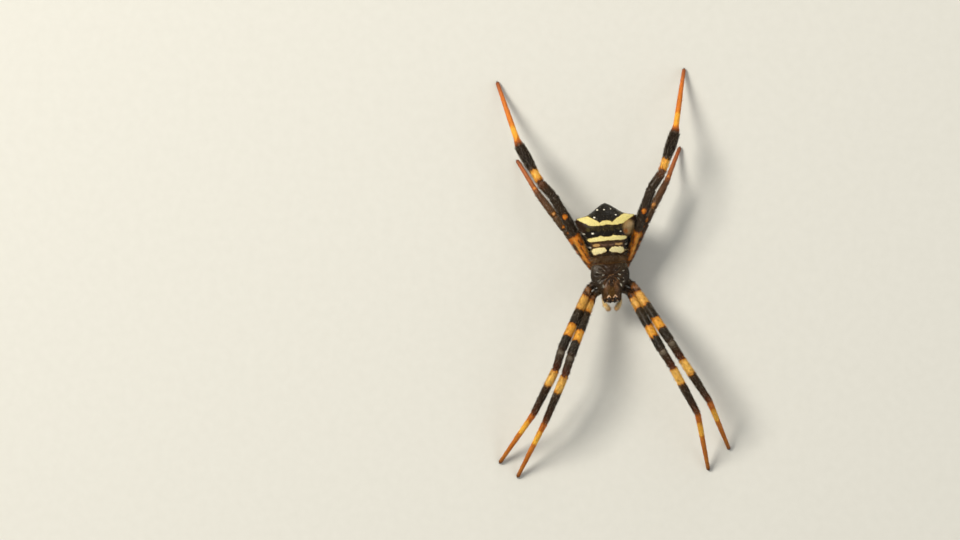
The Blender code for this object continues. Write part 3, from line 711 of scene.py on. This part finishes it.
def make_abdomen():
    """The bag's shell, with its relief, markings and hair, by height above the tail."""
    v, out, up, mid = drawn_ball(ABDOMEN_SECTIONS, *ABDOMEN_RINGS, 2.4, (0.35, 0.40))
    above = inside(up - mid - 0.10, 0.10)
    x = np.abs(out + 0.06)
    uneven, fine = mottled(out, v, 0.9, 21), mottled(out, v, 0.35, 22)
    relief = 0.012 * uneven * inside(v - 0.6, 0.4)
    for row, along in SIGILLA:
        relief = relief - 0.05 * hill(np.hypot(x - row, v - along), 0.10)
    relief = (relief - 0.035 * hill(v - 3.45, 0.20) * inside(2.4 - x, 0.4)
              - 0.03 * hill(v - 4.95, 0.16) * inside(2.0 - x, 0.3)
              - FOLD_DEPTH * (1 + np.sin(2 * np.pi * v / 0.26 + 2 * uneven))
              * inside(1.5 - v, 0.4))
    sides = hill(up - mid + 0.5, 0.7)
    out = out * (1 + 0.010 * sides * np.sin(2 * np.pi * v / 0.62 + uneven))
    up = up + relief * above
    depth = np.maximum(mid - up, 0)
    low_share = inside(depth - 0.62 * depth.max(1, keepdims=True), 0.12)

    def edge(table):
        """Height of a marking's edge above the tail, by distance from the middle."""
        return np.interp(x, *zip(*table))

    tail_band = np.minimum(v - edge(TAIL_BAND_REAR), edge(TAIL_BAND_FRONT) - v)
    middle_band = np.minimum(v - edge(MIDDLE_BAND_REAR), edge(MIDDLE_BAND_FRONT) - v) \
        - 0.9 * np.maximum(x - 2.2, 0)
    patches = edge(PATCH_HALF) - np.abs(v - edge(PATCH_MIDDLE) - 0.02 * out) + 0.04 * uneven
    tan_strip = 0.17 - np.abs(v - 5.06 + 0.05 * uneven) - 0.17 * ((x - 1.34) / 0.50) ** 4
    top_marks = np.max([tail_band, middle_band, patches, tan_strip], axis=0)
    flank = -1.0
    for start in (2.55, 3.45, 4.35, 5.2):
        line = 0.085 - 0.03 * depth - np.abs(v - start - 0.45 * depth - 0.1 * uneven)
        flank = np.maximum(flank, np.minimum(line, np.minimum(depth - 0.10, 1.35 - depth)))
    belly = np.minimum(0.13 - np.abs(np.abs(out) - 0.78 + 0.05 * uneven),
                       np.minimum(v - 2.3, 5.25 - v))
    top_marks = top_marks + 0.035 * fine + 0.02 * uneven
    lower_marks = np.maximum(flank, top_marks - 0.9 * depth + 0.05 * fine)
    marks = np.where(up > mid, top_marks, lower_marks) * EDGE_SHARPNESS
    marks = marks * (1 - low_share) + np.where(low_share > 0, belly * EDGE_SHARPNESS, -1) \
        * low_share
    lobe = inside(x - 2.15 - 0.25 * (v - 2.2), 0.16) * within(v, 1.5, 3.5, 0.1, 0.35)
    strip = inside(v - 2.62, 0.08) * inside(3.30 - v + 0.08 * uneven, 0.16) * (1 - lobe)
    brown = within(v, 4.62, 5.40, 0.06, 0.08) * inside(2.05 - x, 0.12)
    bulge = 1 - np.hypot((out - 2.62) / 0.62, (v - 3.17) / 0.86) - np.maximum(depth - 0.5, 0)
    plates = 0.42 - np.hypot(np.abs(out) - 1.0, (v - 5.75) * 0.9)    # over the lungs
    ground = tinted(
        srgb(23, 18, 10) + 0 * out[..., None], ((44, 25, 10), lobe),
        ((52, 42, 17), strip * (0.65 + 0.35 * fine)),
        ((84, 74, 36), strip * inside(uneven - 0.35, 0.2) * 0.6),
        ((78, 56, 36), brown * (0.7 + 0.3 * fine)),
        ((112, 82, 66), inside(0.10 - np.abs(v - 5.00 - 0.10 * np.sin(4.2 * x)), 0.05)
         * inside(0.95 - x, 0.1) * inside(x - 0.10, 0.05) * 0.8),
        ((66, 46, 28), inside(v - 6.02 - 0.12 * uneven, 0.10) * 0.85),
        ((150, 112, 70), inside(v - 6.40, 0.10) * 0.75),
        ((92, 84, 32), inside(1.62 - v, 0.06) * inside(up - mid - 0.25 + 0.15 * fine, 0.25)
         * inside(x - 1.95 + 0.2 * fine, 0.35) * 0.9),
        ((104, 78, 42), inside(bulge + 0.22, 0.16)),
        ((154, 124, 80), inside(bulge - 0.02, 0.16)),
        # painted highlight near the outer rear of the grey-beige bulge
        ((184, 156, 112), inside(0.36 - np.hypot(out - 2.85, v - 2.95), 0.25)),
        ((156, 92, 26), inside(0.22 - np.hypot(out - 2.24, (v - 3.58) * 0.8) + 0.06 * fine,
                               0.14)),
        ((40, 31, 21), inside(depth - 0.3, 0.3) * 0.7),
        ((112, 88, 58), inside(plates, 0.08) * low_share))
    ground = ground * (1 + 0.14 * uneven + 0.10 * fine)[..., None]
    dots = np.max([0 * out - 1, *(size - np.hypot((out - side) * 0.66, v - along)
                                  for side, along, size in WHITE_DOTS)], axis=0)
    tail_skin, front_edge = inside(1.9 - v, 0.3), inside(v - 5.95, 0.15)
    brow = inside(v - 6.36, 0.12)         # hairs of the front edge lean over the waist
    flank_fur = inside(0.9 - np.abs(up - mid), 0.4) * inside(v - 1.6, 0.3)
    seam = inside(v - 3.3, 0.5) * inside(0.45 - np.abs(up - mid), 0.3)   # by the hind legs
    return closed_shell(
        on_body(ABDOMEN_APEX + v, out, up), ABDOMEN_BOX, ground=np.clip(ground, 0, 1),
        band=marks, spot=np.where(up > mid, dots, -1),
        bright=ramp(v, ((2.9, 216, 202, 128), (3.9, 228, 216, 144),
                        (4.7, 232, 218, 148), (4.85, 184, 146, 90),
                        (5.24, 184, 146, 90), (5.32, 246, 232, 172),
                        (6.2, 246, 234, 180))),
        gloss=0.38 - 0.14 * tail_skin,
        lie=(2.4 * brow[..., None] - 1) * FORWARD - 0.35 * UP
        + (0.25 - 0.2 * brow + 1.1 * brow * inside(x - 1.1, 0.3))[..., None]
        * np.sign(out)[..., None] * OUT,
        length=0.18 + 0.10 * front_edge - 0.06 * tail_skin + 0.30 * brow + 0.08 * flank_fur
        + 0.17 * seam,
        density=(110 + 110 * front_edge - 70 * tail_skin + 160 * brow + 320 * seam)
        * (1 - 0.3 * low_share) * (1 - 0.45 * inside(top_marks, 0.05) * above),
        lift=22 + 14 * front_edge + 27 * seam, silver=0.05 + 0.10 * front_edge * (1 - seam))


skin_shells["abdomen"] = make_abdomen()


# ---- Small plates and tubes of the trunk ----------------------------------------------
# Under the shield lie the breastplate, the lip and two mouth plates; the jaws hang
# below the face, the feelers curl round them, a thin waist joins the two halves of the
# body, and six spinnerets stand below the tail.
def worked_out(fields, *places):
    """Fields, with those given as a rule worked out at every point."""
    return {key: value(*places) if callable(value) else value
            for key, value in fields.items()}


def tapered(line, radii, rings, sides, top, uv_box, necks=(), start_in=0.0, **fields):
    """A tube through body places with round ends: the radius runs smoothly between
    those given, times sqrt(1 - (1 - end / radius)^2) near an end.  A rule for a field
    goes by the share of the length and the turn round it."""
    line = on_body(*np.array(line, float).T)
    line[0] += start_in * unit(line[0] - line[1])
    run = distances(line)
    s = np.arange(rings) + 0.5
    d = run[-1] * (0.5 - 0.5 * np.cos(np.pi * s / rings)) * 0.6 + run[-1] * s / rings * 0.4
    centre = np.stack([smooth_between(d, run, line[:, k]) for k in range(3)], -1)
    radius = smooth_between(d, run, np.array(radii))
    ends = np.minimum(d, run[-1] - d) / (0.9 * radius)
    radius = radius * np.sqrt(1 - (1 - np.clip(ends, 0.01, 1)) ** 2)
    for at, neck in necks:
        radius = radius * (1 - neck * hill(d - at * run[-1], 0.07))
    shape, along, _, turn = tube_rings(centre, radius, sides, top)
    fields = worked_out(fields, d[:, None] / run[-1] + 0 * turn, turn + 0 * d[:, None])
    return closed_shell(shape, uv_box, **{"lie": along[:, None], **fields})


def plate_ball(middle, sizes, rings, sides, uv_box, **fields):
    """An ellipsoid: middle + (forward, out, up) sizes times the unit ball.  A rule for
    a field goes by forward, out and up."""
    polar = np.pi * (np.arange(rings)[:, None] + 0.5) / rings
    turn = turns_of(sides)
    places = (middle[0] - sizes[0] * np.cos(polar) + 0 * turn,
              middle[1] - sizes[1] * np.sin(polar) * np.cos(turn),
              middle[2] + sizes[2] * np.sin(polar) * np.sin(turn))
    return closed_shell(on_body(*places), uv_box, **worked_out(fields, *places))


PLAIN_LOOKS = {"bright": srgb(222, 204, 150), "band": -1.0, "spot": -1.0, "gloss": 0.42,
               "length": 0.16, "density": 60.0, "lift": 24.0, "silver": 0.08}


def add_small(name, shape, places, *sizes, side=1, ground, **looks):
    """Adds a plate or tube to the skin, with plain looks except for those given; side
    is -1 on the animal's right."""
    looks = {**PLAIN_LOOKS, "ground": ground if callable(ground) else srgb(*ground), **looks}
    places = np.array(places, float) * (1, side, 1)
    skin_shells[name] = shape(places, *sizes, next(SMALL_BOXES), **looks)


def shaded(*table):
    """A rule for a colour that runs along a tube through the rows of a table."""
    return lambda along, turn: ramp(along, table)


def palp_bands(along, turn):
    """Pale bands across the back of each joint of a feeler."""
    return (0.12 - np.abs(np.abs((along * 5.2) % 1 - 0.5) - 0.1)
            - 0.2 * np.abs(turn - np.pi / 2))


add_small("sternum", plate_ball, (-0.15, 0, 3.72), (1.33, 0.86, 0.62), 40, 40,
          ground=(52, 40, 28), lie=-FORWARD,
          band=lambda f, o, u: 0.24 - np.abs(o) - 0.12 * (f + 0.2) ** 2)
add_small("lip", plate_ball, (1.22, 0, 3.22), (0.26, 0.24, 0.20), 14, 16,
          ground=(72, 52, 34), lie=FORWARD)
add_small("waist", tapered, ((-1.90, 0, 4.30), (-2.35, 0, 4.18), (-2.85, 0, 4.26),
                             (-3.30, 0, 4.40)), (0.30, 0.26, 0.26, 0.34), 26, 20, UP,
          ground=(86, 58, 36), density=12.0)
for hand, side in (("left", 1), ("right", -1)):
    add_small(f"mouth_{hand}", plate_ball, (1.52, 0.36, 3.24), (0.30, 0.24, 0.22), 14, 16,
              side=side, ground=(96, 70, 44), lie=FORWARD)
    add_small(f"chelicera_{hand}", tapered,
              ((2.24, .36, 4.62), (2.42, .38, 3.95), (2.45, .38, 3.50), (2.38, .37, 3.05),
               (2.28, .35, 2.80)), (0.25, 0.295, 0.305, 0.285, 0.20), 40, 28, FORWARD,
              side=side, gloss=0.30, density=75.0, length=0.20, lift=30.0,
              ground=shaded((0, 96, 66, 38), (0.5, 84, 54, 30), (1, 48, 26, 16)))
    add_small(f"pedipalp_{hand}", tapered,
              ((1.35, .58, 3.18), (1.78, .86, 3.30), (2.25, .97, 3.70), (2.72, .95, 3.96),
               (3.10, .77, 3.92), (3.42, .54, 3.62), (3.64, .44, 3.22)),
              (.22, .22, .20, .22, .28, .28, .18), 64, 20, UP, side=side,
              necks=((0.20, .18), (0.44, .2), (0.58, .2), (0.76, .2)), start_in=0.25,
              ground=shaded((0, 70, 50, 32), (0.3, 124, 92, 54), (0.5, 212, 182, 126),
                            (0.72, 228, 200, 144), (0.86, 200, 152, 96),
                            (1, 138, 90, 48)),
              bright=srgb(240, 224, 176), band=palp_bands, density=110.0, length=0.32,
              lift=34.0, gloss=0.40, silver=0.30)
    for name, base, tip, wide, narrow in (
            ("fore", (-6.62, .24, 3.05), (-6.64, .17, 2.42), .19, .09),
            ("mid", (-6.82, .10, 3.00), (-6.84, .08, 2.55), .09, .05),
            ("hind", (-7.02, .22, 3.05), (-7.02, .15, 2.47), .17, .08)):
        middle = (np.array(base) + tip) / 2
        add_small(f"spinneret_{name}_{hand}", tapered, (base, middle, tip),
                  (wide, (wide + narrow) / 2 + 0.02, narrow), 14, 14, FORWARD, side=side,
                  necks=((0.55, 0.16),), ground=(92, 62, 36), density=45.0, length=0.12)
add_small("spinneret_mound", tapered,
          ((-6.78, 0, 3.40), (-6.80, 0, 3.05), (-6.82, 0, 2.78)), (0.56, 0.53, 0.42),
          14, 24, FORWARD, ground=(60, 44, 28))
add_small("egg_plate", tapered,
          ((-4.15, 0, 3.55), (-4.30, 0, 3.18), (-4.52, 0, 2.98)), (0.34, 0.26, 0.10),
          14, 18, FORWARD, ground=(56, 30, 16), gloss=0.25, density=10.0)


# ---- Skin: one mesh for all the flesh -------------------------------------------------
# The plates and tubes become one skin.  Its paint is a ground colour, bright bands
# with rusty rims and ragged edges, and white dots; fine pits and ridges of the cuticle
# and the roots of the flat fur are bump.
def read_field(tree, name, socket="Fac"):
    """What a mesh's field of that name says, as a value, a colour or a vector."""
    return add_node(tree, "Attribute", {"attribute_name": name}).outputs[socket]


def mixed(tree, share, one, other, how="MIX"):
    """Two colours mixed or multiplied by a share."""
    return add_node(tree, "Mix", {"data_type": "RGBA", "blend_type": how},
                    n0=share, n6=one, n7=other).outputs[2]


def dimmed(tree, colour, tone):
    """A colour times a tone."""
    grey = add_node(tree, "CombineColor", Red=tone, Green=tone, Blue=tone).outputs[0]
    return mixed(tree, 1.0, colour, grey, "MULTIPLY")


def between(tree, value, low, high, start=0.0, stop=1.0):
    """Runs smoothly from start to stop as a value goes from low to high."""
    return add_node(tree, "MapRange", {"interpolation_type": "SMOOTHSTEP"}, Value=value,
                    From_Min=low, From_Max=high, To_Min=start, To_Max=stop).outputs[0]


def painted(tree):
    """Colour of a place: ground, then rim and bright band by how far inside the band it
    is, then the white dots; noise on the root's place breaks edges and tone."""
    root = read_field(tree, "root", "Vector")
    ragged, speck = noise(tree, root, 4.0, 3.0), noise(tree, root, 17.0, 2.0)
    shift = add_node(tree, "Math", {"operation": "MULTIPLY_ADD"}, n0=ragged, n1=0.34,
                     n2=-0.17).outputs[0]
    edge = add_node(tree, "Math", {"operation": "ADD"}, n0=read_field(tree, "band"),
                    n1=shift).outputs[0]
    bright = read_field(tree, "bright", "Color")
    rim = mixed(tree, 1.0, bright, (0.80, 0.52, 0.26, 1), "MULTIPLY")
    colour = mixed(tree, between(tree, edge, -0.04, 0.05),
                   read_field(tree, "ground", "Color"), rim)
    colour = mixed(tree, between(tree, edge, 0.06, 0.34), colour, bright)
    colour = mixed(tree, between(tree, read_field(tree, "spot"), -0.02, 0.03), colour,
                   (*srgb(236, 230, 210), 1))
    return dimmed(tree, colour, between(tree, speck, 0.30, 0.70, 0.74, 1.22))


skin_material, tree, shader = new_material("spider skin")
feed(tree, shader, Base_Color=painted(tree), Roughness=read_field(tree, "gloss"),
     Specular_IOR_Level=0.20)
where = add_node(tree, "TexCoord").outputs["Object"]
pits = add_node(tree, "TexVoronoi", {"feature": "F1"}, Vector=where, Scale=14000.0)
ridges = noise(tree, where, 5200.0, 5.0, Roughness=0.6)
height = add_node(tree, "Math", {"operation": "MULTIPLY_ADD"}, n0=pits.outputs["Distance"],
                  n1=0.45, n2=ridges).outputs[0]
bump = add_node(tree, "Bump", Height=height, Strength=0.55, Distance=0.00003)
feed(tree, shader, Normal=bump.outputs["Normal"])

FIELD_KINDS = {"ground": "FLOAT_COLOR", "bright": "FLOAT_COLOR", "root": "FLOAT_VECTOR"}
SOCKETS = {"FLOAT": "value", "FLOAT_COLOR": "color", "FLOAT_VECTOR": "vector"}


def mesh_piece(name, shell, material, keys=()):
    """Puts a shell's points (mm), faces, flat map and named fields into a new piece."""
    mesh = bpy.data.meshes.new(name)
    at, quads, tris = shell["at"], shell["quads"], shell["tris"]
    corners = np.concatenate([quads.ravel(), tris.ravel()]).astype(np.int32)
    starts = np.concatenate([np.arange(len(quads)) * 4,
                             len(quads) * 4 + np.arange(len(tris)) * 3]).astype(np.int32)
    mesh.vertices.add(len(at))
    mesh.vertices.foreach_set("co", (at * MM).astype(np.float32).ravel())
    mesh.loops.add(len(corners))
    mesh.loops.foreach_set("vertex_index", corners)
    mesh.polygons.add(len(starts))
    mesh.polygons.foreach_set("loop_start", starts)
    mesh.update(calc_edges=True)
    mesh.polygons.foreach_set("use_smooth", np.ones(len(starts), bool))
    mesh.uv_layers.new(name="OFBake").data.foreach_set(
        "uv", shell["uv"].astype(np.float32).ravel())
    for key in keys:
        kind, value = FIELD_KINDS.get(key, "FLOAT"), shell[key]
        if kind == "FLOAT_COLOR":
            value = np.concatenate([value, np.ones((len(value), 1))], 1)
        data = mesh.attributes.new(key, kind, "POINT").data
        data.foreach_set(SOCKETS[kind], np.asarray(value, np.float32).ravel())
    mesh.materials.append(material)
    piece = new_object(name, mesh)
    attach(piece, "root")
    return piece


def joined(shells):
    """Stacks shells into one: points and fields end to end, faces counted on."""
    shift = np.cumsum([0] + [len(s["at"]) for s in shells])
    whole = {k: np.concatenate([s[k] for s in shells]) for k in shells[0]}
    for kind in ("quads", "tris"):
        whole[kind] = np.concatenate([s[kind] + n for s, n in zip(shells, shift)])
    four = [len(s["quads"]) * 4 for s in shells]
    whole["uv"] = np.concatenate([s["uv"][:n] for s, n in zip(shells, four)]
                                 + [s["uv"][n:] for s, n in zip(shells, four)])
    return whole


whole = joined(list(skin_shells.values()))
whole["root"] = whole["at"]
skin = mesh_piece("skin", whole, skin_material,
                  ("ground", "bright", "band", "spot", "gloss", "root"))
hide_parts(*[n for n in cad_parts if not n.startswith(("eye_", "fang_"))])


# ---- Coat -----------------------------------------------------------------------------
# Short stiff hairs grow all over a spider, lying towards the tips of the legs and the
# tail: brown or black on dark skin, straw on the bands, some silvery, and pale ones that
# are a painted sheen on the dark leg bands and the carapace's rear shoulders.  They are
# longest in the brushes of the hind shins and smallest on the face and feet.
coat_material, tree, shader = new_material("spider hair")
colour = dimmed(tree, painted(tree), read_field(tree, "tone"))
feed(tree, shader, Roughness=0.48, Specular_IOR_Level=0.10, Base_Color=mixed(
    tree, read_field(tree, "pale"), colour, (*srgb(188, 176, 154), 1)))

# A hair has seven points: three round its root, three round its bend, and the tip.
HAIR_FLAT = np.array([(-1, -1), (0, -.5), (1, -1), (-1, .2), (0, .6), (1, .2),
                      (0, 1)]) * .0015
HAIR_QUADS = np.array([(0, 1, 4, 3), (1, 2, 5, 4), (2, 0, 3, 5)])
HAIR_TRIS = np.array([(3, 4, 6), (4, 5, 6), (5, 3, 6), (2, 1, 0)])
HAIR_TURNS = (0.5236, 2.618, 4.712)
LEG_HAIR, CARAPACE_HAIR, ABDOMEN_HAIR, SMALL_HAIR = 0.009, 0.007, 0.008, 0.0075   # radii
HAIR_SUNK = 0.6                   # how deep a root is set, times the hair's thickness
HAIR_TAPER = 0.8                  # thickness at the bend, as a share of the root's
HAIR_DROOP = 0.35                 # lift past the bend, as a share of that before it
FLOOR_GAP = 0.005                 # no hair comes nearer to the floor
SKIN_FIELDS = ("ground", "bright", "band", "spot")


def seeded_roots(shell, seed, thickness):
    """Scatters roots over a shell, as many to each face as its area times the wanted
    number, and reads every field there between the face's three corners."""
    chance = np.random.default_rng(seed)
    quads, four = shell["quads"], len(shell["quads"]) * 4
    quad_uv = shell["uv"][:four].reshape(-1, 4, 2)
    faces = np.concatenate([quads[:, (0, 1, 2)], quads[:, (0, 2, 3)], shell["tris"]])
    flat = np.concatenate([quad_uv[:, (0, 1, 2)], quad_uv[:, (0, 2, 3)],
                           shell["uv"][four:].reshape(-1, 3, 2)])
    at = shell["at"][faces]
    facing = np.cross(at[:, 1] - at[:, 0], at[:, 2] - at[:, 0])
    area = np.linalg.norm(facing, axis=1) / 2
    normals = np.zeros_like(shell["at"])
    for k in range(3):
        np.add.at(normals, faces[:, k], facing)
    wanted = np.cumsum(area * shell["density"][faces].mean(1))
    count = int(wanted[-1])
    chosen = np.searchsorted(wanted, chance.uniform(0, wanted[-1], count))
    chosen = np.minimum(chosen, len(faces) - 1)
    a, b = np.sqrt(chance.random(count)), chance.random(count)
    share = np.stack([1 - a, a * (1 - b), a * b], 1)

    def read(values):
        return np.einsum("nk,nk...->n...", share, values)

    roots = {key: read(shell[key][faces[chosen]]) for key in (
        *SKIN_FIELDS, "at", "lie", "length", "lift", "silver")}
    roots["normal"], roots["uv"] = unit(read(normals[faces[chosen]])), read(flat[chosen])
    roots["tone"] = chance.uniform(0.60, 1.26, count)
    roots["pale"] = (chance.random(count) < roots["silver"]) * chance.uniform(.4, .95, count)
    roots["length"] *= chance.uniform(0.65, 1.35, count)
    roots["lift"] *= chance.uniform(0.5, 1.6, count)
    roots["sway"] = chance.normal(0, 0.22, (count, 3))
    roots["thick"] = thickness * chance.uniform(0.75, 1.3, count)
    return roots


def grown(roots):
    """The seven points of each hair: it leaves the skin along its lie, raised by its
    lift, and droops back past the bend."""
    normal = roots["normal"]
    lie = roots["lie"] + roots["sway"]
    lie = unit(lie - normal * (lie * normal).sum(1, keepdims=True))
    lift = np.radians(roots["lift"])[:, None]
    rise = unit(lie * np.cos(lift) + normal * np.sin(lift))
    fall = unit(lie * np.cos(lift * HAIR_DROOP) + normal * np.sin(lift * HAIR_DROOP))
    length, thick = roots["length"][:, None], roots["thick"][:, None]
    base = roots["at"] - normal * HAIR_SUNK * thick
    bend = base + rise * length * 0.5
    across = unit(np.cross(rise, normal) + 1e-6)
    over = np.cross(rise, across)
    ring = [across * np.cos(t) + over * np.sin(t) for t in HAIR_TURNS]
    points = np.stack([base + r * thick for r in ring]
                      + [bend + r * thick * HAIR_TAPER for r in ring]
                      + [bend + fall * length * 0.5], 1)
    points[..., 2] = np.maximum(points[..., 2], FLOOR_GAP)
    return points


def coat_piece(name, parts):
    """Grows hairs from some sets of roots and makes them one piece."""
    roots = {key: np.concatenate([p[key] for p in parts]) for key in parts[0]}
    first = np.arange(len(roots["at"]))[:, None, None] * 7
    flat = (np.clip(roots["uv"], .002, .998)[:, None] + HAIR_FLAT).reshape(-1, 2)
    hairs = {key: np.repeat(roots[key], 7, axis=0) for key in (*SKIN_FIELDS, "tone", "pale")}
    hairs.update(root=np.repeat(roots["at"], 7, axis=0), at=grown(roots).reshape(-1, 3),
                 quads=(first + HAIR_QUADS).reshape(-1, 4),
                 tris=(first + HAIR_TRIS).reshape(-1, 3))
    hairs["uv"] = flat[np.concatenate([hairs["quads"].ravel(), hairs["tris"].ravel()])]
    return mesh_piece(name, hairs, coat_material, (*SKIN_FIELDS, "tone", "pale", "root"))


for number, hand in LEGS:
    shell = skin_shells[f"leg_{number}_{hand}"]
    roots = seeded_roots(shell, 100 + number * 10 + (hand == "left"), LEG_HAIR)
    piece = coat_piece(f"coat_leg_{number}_{hand}", [roots])
piece = coat_piece("coat_carapace", [seeded_roots(skin_shells["carapace"], 200,
                                                  CARAPACE_HAIR)])
piece = coat_piece("coat_abdomen", [seeded_roots(skin_shells["abdomen"], 210,
                                                 ABDOMEN_HAIR)])
small = [name for name in skin_shells if not name.startswith(("leg", "carapace", "abdomen"))]
piece = coat_piece("coat_underparts", [seeded_roots(skin_shells[name], 220 + k, SMALL_HAIR)
                                       for k, name in enumerate(small)])


# ---- Spines ---------------------------------------------------------------------------
# Long stiff bristles stand out from the legs, a few to each segment: the orb weaver's
# spines.  Each is a hair up to twice as long and twice as thick as the others.
SPINE_RADIUS = 0.019
SPINE_PLACES = (1.24, 1.42, 1.58, 1.74, 1.90, 2.72, 3.16, 3.34, 3.52, 3.70, 3.86, 4.08, 4.26,
                4.48)
SPINE_SIDES = (2, 6, 13, 17)      # of the twenty sides of a leg, counted from below
SPINE_SHARE = 0.62                # of those places and sides that do carry one


def spine_roots(number, hand):
    """Roots of one leg's spines: at each place along it, on two or three of the sides."""
    rings, place, _ = leg_courses[number, hand]
    chance = np.random.default_rng(400 + number * 2 + (hand == "left"))
    wanted = np.repeat(SPINE_PLACES, len(SPINE_SIDES)) + chance.normal(
        0, 0.02, len(SPINE_PLACES) * len(SPINE_SIDES))
    sides = np.tile(SPINE_SIDES, len(SPINE_PLACES)) + chance.integers(-1, 2, len(wanted))
    keep = chance.random(len(wanted)) < SPINE_SHARE
    wanted = wanted[keep]
    row, side = np.searchsorted(place, wanted), sides[keep] % LEG_SIDES
    shell, count = skin_shells[f"leg_{number}_{hand}"], len(wanted)
    roots = {key: shell[key][row * LEG_SIDES + side] for key in (*SKIN_FIELDS, "at", "lie")}
    roots["normal"] = unit(roots["at"] - rings[row].mean(1))
    roots["band"] = np.full(count, -1.0)
    roots["length"] = np.where(wanted > 4, 0.34, 0.52) * chance.uniform(.75, 1.2, count)
    roots["lift"] = chance.uniform(38, 62, count)
    left, bottom, width, height = leg_box(number, hand)
    roots["uv"] = stacked(left + side / LEG_SIDES * width,
                          bottom + height * row / len(rings))
    roots["tone"], roots["pale"] = chance.uniform(0.5, 1.0, count), np.zeros(count)
    roots["sway"] = chance.normal(0, 0.10, (count, 3))
    roots["thick"] = np.full(count, SPINE_RADIUS)
    return roots


piece = coat_piece("spines", [spine_roots(number, hand) for number, hand in LEGS])


# ---- Eyes -----------------------------------------------------------------------------
# Eight small, simple eyes: hard clear domes of cuticle over black, in two rows of four,
# each in a low collar of the head's skin.
eye_material, tree, shader = new_material("eye dome")
facing = add_node(tree, "LayerWeight", Blend=0.35).outputs["Facing"]
feed(tree, shader, Roughness=0.06, Coat_Weight=0.6, Coat_Roughness=0.03,
     Base_Color=two_tones(tree, facing, srgb(22, 16, 12), srgb(66, 38, 18)))
eye_nodes = [f"eye_{row}_{hand}" for row in EYES for hand in ("left", "right")]
eye_shells = []
EYE_RINGS, EYE_SIDES = 20, 28
polar = np.pi * (np.arange(EYE_RINGS)[:, None, None] + 0.5) / EYE_RINGS
turn = np.linspace(0, 2 * np.pi, EYE_SIDES, endpoint=False)[None, :, None]
dome = -np.cos(polar) * UP + np.sin(polar) * (np.cos(turn) * OUT
                                              + np.sin(turn) * np.cross(UP, OUT))
for k, node in enumerate(eye_nodes):
    low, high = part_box(node)
    radius = (high[2] - low[2]) / 2 / MM
    eye_shells.append(closed_shell(box_middle(node) + radius * dome,
                                   (0.02 + 0.12 * k, 0.02, 0.1, 0.2)))
eyes = mesh_piece("eyes", joined(eye_shells), eye_material)
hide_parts(*eye_nodes)


# ---- Fangs and claws --------------------------------------------------------------------
# Smooth hard horn, nearly black with a red glint: a curved fang folded under each jaw,
# and at each foot's tip two combed claws with a small hook between them.
horn_material, tree, shader = new_material("dark horn")
where = add_node(tree, "TexCoord").outputs["Object"]
streaks = noise(tree, where, 6000.0, 3.0)
feed(tree, shader, Roughness=0.22,
     Base_Color=two_tones(tree, streaks, srgb(34, 14, 9), srgb(70, 28, 14)))
FANG = np.array(((2.24, .40, 2.76), (2.12, .34, 2.60), (1.90, .24, 2.62), (1.72, .14, 2.70)))
fangs = mesh_piece("fangs", joined([
    tapered(FANG * (1, side, 1), (.10, .085, .055, .015), 24, 14, UP,
            (0.22 + 0.1 * side, 0.4, 0.08, 0.2)) for side in (1, -1)]), horn_material)
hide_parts("fang_left", "fang_right")

CLAWS = ((-0.045, 0.20), (0.045, 0.20), (0.0, 0.12))          # spread, size
CLAW_FLOOR = 0.03                 # a claw's middle line never comes lower than this
claw_shells = []
for number, hand in LEGS:
    shell = skin_shells[f"leg_{number}_{hand}"]
    tip, heading = shell["at"][-1], unit(shell["lie"][-1] * (1, 1, 0))
    across = np.cross(heading, UP)
    for spread, size in CLAWS:
        t = np.linspace(0, 1, 9)[:, None]
        line = (tip - heading * 0.05 + across * spread * (1 + t)
                + heading * size * np.sin(t * 1.5)
                + UP * (0.02 + 0.05 * np.sin(3.14 * t) - 0.09 * t * t))
        line[:, 2] = np.maximum(line[:, 2], CLAW_FLOOR)
        rings = tube_rings(line, 0.024 * (1 - t[:, 0]) ** 0.7 + 0.003, 8)[0]
        box = 0.02 + 0.03 * len(claw_shells) % 0.9, 0.7, 0.02, 0.1
        claw_shells.append(closed_shell(rings, box))
claws = mesh_piece("claws", joined(claw_shells), horn_material)
